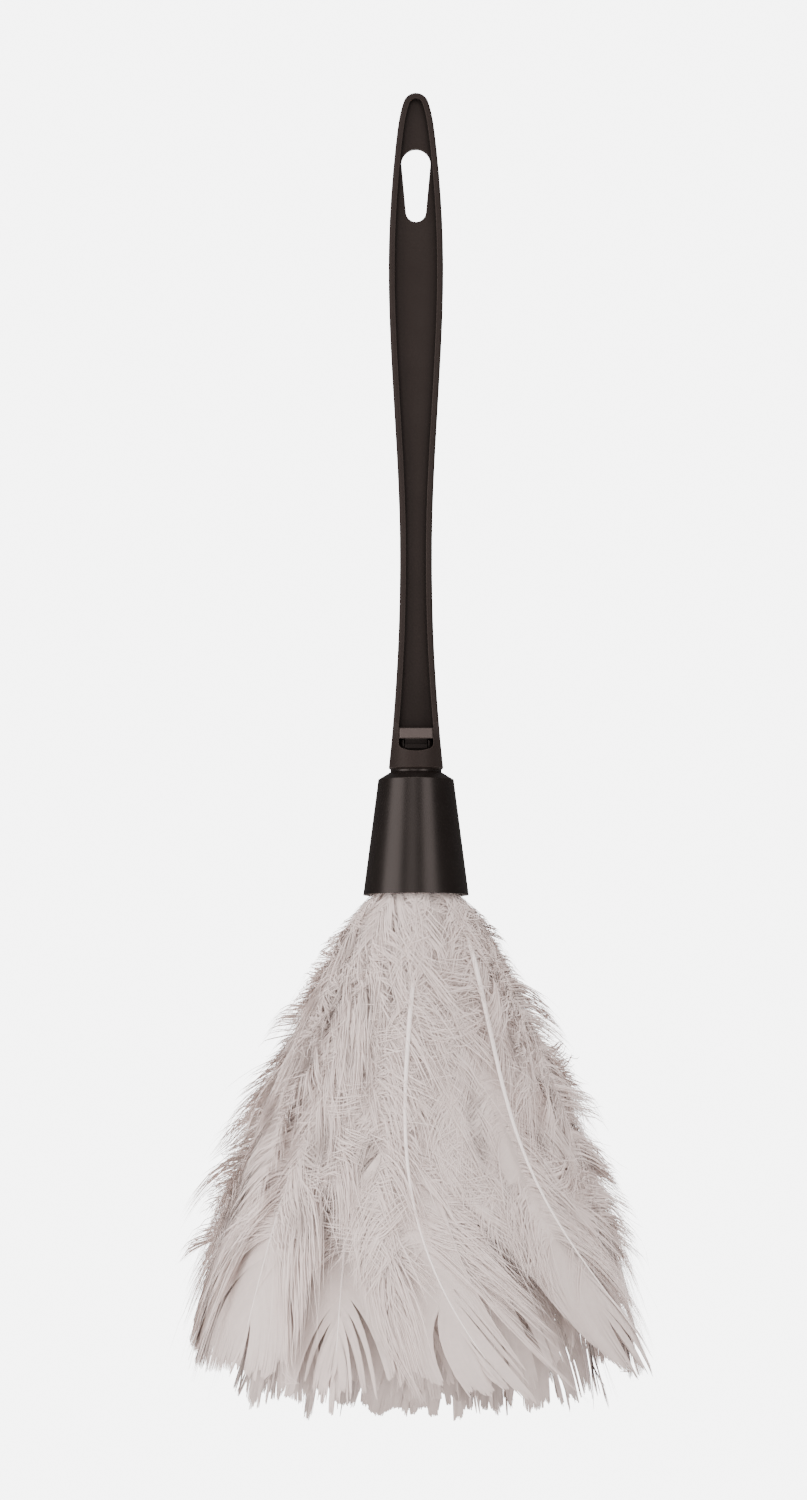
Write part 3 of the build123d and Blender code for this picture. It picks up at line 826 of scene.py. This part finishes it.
def hiddenMaterial(name, look):
    material, tree, shader = newMaterial(name)
    place = addNode(tree, "ShaderNodeTexCoord")
    noise = addNode(tree, "ShaderNodeTexNoise")
    noise.inputs["Scale"].default_value = look["scale"]
    colour = addNode(tree, "ShaderNodeMix", data_type="RGBA")
    colour.inputs["A"].default_value = (*look["dark"], 1)
    colour.inputs["B"].default_value = (*look["light"], 1)
    tree.links.new(place.outputs["Object"], noise.inputs["Vector"])
    tree.links.new(noise.outputs["Fac"], colour.inputs["Factor"])
    tree.links.new(colour.outputs["Result"], shader.inputs["Base Color"])
    shader.inputs["Roughness"].default_value = look["roughness"]
    shader.inputs["Metallic"].default_value = look["metallic"]
    return material


hidden = {name: hiddenMaterial(name, look) for name, look in hiddenLooks.items()}
paintNode("core_dowel", hidden["coreWood"])
paintNode("glue_plug", hidden["glue"])
for courseName in courses:
    paintNode("tie_" + courseName, hidden["tieWire"])


# Floor, light and camera, in metres

floorLook = {"radius": 3.0, "height": -1.0, "sides": 96, "colour": (0.8, 0.8, 0.8),
             "roughness": 0.8, "specular": 0.1}


def floorMaterial(look):
    # Seen from underneath, the floor isn't there
    material, tree, shader = newMaterial("floorPaint")
    shader.inputs["Base Color"].default_value = (*look["colour"], 1)
    shader.inputs["Roughness"].default_value = look["roughness"]
    shader.inputs["Specular IOR Level"].default_value = look["specular"]
    facing = addNode(tree, "ShaderNodeNewGeometry")
    clear = addNode(tree, "ShaderNodeBsdfTransparent")
    mix = addNode(tree, "ShaderNodeMixShader")
    tree.links.new(facing.outputs["Backfacing"], mix.inputs["Fac"])
    tree.links.new(shader.outputs["BSDF"], mix.inputs[1])
    tree.links.new(clear.outputs["BSDF"], mix.inputs[2])
    tree.links.new(mix.outputs["Shader"], tree.nodes["Material Output"].inputs["Surface"])
    return material


def makeFloor(look):
    bm = bmesh.new()
    bmesh.ops.create_circle(bm, cap_ends=True, segments=look["sides"], radius=look["radius"])
    bmesh.ops.translate(bm, verts=bm.verts, vec=(0, 0, look["height"]))
    mesh = bpy.data.meshes.new("floor")
    bm.to_mesh(mesh)
    bm.free()
    mesh.materials.append(floorMaterial(look))
    floor = bpy.data.objects.new("floor", mesh)
    scene.collection.objects.link(floor)


# How bright the surroundings are on matt faces, in reflections and to the camera
studio = {"world": 0.83, "mirrored": 0.12, "backdrop": 8.0, "tint": (1.0, 0.93, 0.91),
          "distance": 2.0, "aim": (0, 0, -0.24)}


def makeWorld(look):
    world = bpy.data.worlds.new("studio")
    scene.world = world
    world.use_nodes = True
    sky = world.node_tree
    ambient = sky.nodes["Background"]
    ambient.inputs["Color"].default_value = (*look["tint"], 1)
    ambient.inputs["Strength"].default_value = look["world"]
    mirrored = addNode(sky, "ShaderNodeBackground")
    mirrored.inputs["Color"].default_value = (*look["tint"], 1)
    mirrored.inputs["Strength"].default_value = look["mirrored"]
    backdrop = addNode(sky, "ShaderNodeBackground")
    backdrop.inputs["Strength"].default_value = look["backdrop"]
    seen = addNode(sky, "ShaderNodeLightPath")
    mixSky = addNode(sky, "ShaderNodeMixShader")
    mixMirrored = addNode(sky, "ShaderNodeMixShader")
    sky.links.new(seen.outputs["Is Glossy Ray"], mixMirrored.inputs["Fac"])
    sky.links.new(ambient.outputs["Background"], mixMirrored.inputs[1])
    sky.links.new(mirrored.outputs["Background"], mixMirrored.inputs[2])
    sky.links.new(seen.outputs["Is Camera Ray"], mixSky.inputs["Fac"])
    sky.links.new(mixMirrored.outputs["Shader"], mixSky.inputs[1])
    sky.links.new(backdrop.outputs["Background"], mixSky.inputs[2])
    sky.links.new(mixSky.outputs["Shader"], sky.nodes["World Output"].inputs["Surface"])


# Two tall soft boxes give the collar its two upright streaks. A turn is in degrees from the
# front, positive to the right, and the rims and the low box don't show in reflections
lights = {
    "leftBox": {"turn": -58, "height": 0.05, "size": (1.5, 2.4), "watts": 33.0},
    "rightBox": {"turn": 33, "height": 0.05, "size": (1.0, 2.4), "watts": 20.0},
    "frontBox": {"turn": -10, "height": 0.05, "size": (0.8, 2.4), "watts": 9.0},
    "topBox": {"place": (0, -0.7, 1.5), "size": (1.4, 1.0), "watts": 14.0},
    "leftRim": {"turn": -125, "height": -0.1, "size": (1.2, 2.0), "watts": 30.0,
                "mirrored": False},
    "rightRim": {"turn": 120, "height": -0.1, "size": (1.2, 2.0), "watts": 30.0,
                 "mirrored": False},
    "lowBox": {"place": (-0.8, -1.1, -0.9), "aim": (0, 0, -0.42), "size": (1.4, 1.0),
               "watts": 14.0, "mirrored": False},
}


def addLight(name, light):
    if "place" in light:
        place = light["place"]
    else:
        turn = math.radians(light["turn"])
        distance = studio["distance"]
        place = (distance * math.sin(turn), -distance * math.cos(turn), light["height"])
    target = Vector(light.get("aim", studio["aim"]))
    data = bpy.data.lights.new(name, "AREA")
    data.shape = "RECTANGLE"
    data.size, data.size_y = light["size"]
    data.energy = light["watts"]
    data.color = studio["tint"]
    lamp = bpy.data.objects.new(name, data)
    lamp.location = place
    lamp.rotation_euler = (target - Vector(place)).to_track_quat("-Z", "Y").to_euler()
    lamp.visible_camera = False
    lamp.visible_glossy = light.get("mirrored", True)
    scene.collection.objects.link(lamp)


# Where the camera looks and how much height it takes in are in mm
cameraLook = {"distance": 2.5, "elevation": -4, "across": -5.0, "height": -236.6,
              "field": 600.0, "sensor": 36.0, "clipEnd": 20}


def makeCamera(look):
    # The whole duster fills the height of the picture, seen level and a little from below
    distance, elevation = look["distance"], math.radians(look["elevation"])
    target = Vector((look["across"] * mm, 0, look["height"] * mm))
    data = bpy.data.cameras.new("camera")
    data.sensor_fit = "VERTICAL"
    data.sensor_height = look["sensor"]
    data.lens = data.sensor_height * distance / (look["field"] * mm)
    data.clip_end = look["clipEnd"]
    camera = bpy.data.objects.new("camera", data)
    camera.location = target + Vector((0, -math.cos(elevation), math.sin(elevation))) * distance
    camera.rotation_euler = (target - camera.location).to_track_quat("-Z", "Y").to_euler()
    scene.collection.objects.link(camera)
    scene.camera = camera


makeFloor(floorLook)
makeWorld(studio)
for lightName, light in lights.items():
    addLight(lightName, light)
makeCamera(cameraLook)
say("floor, light and camera")
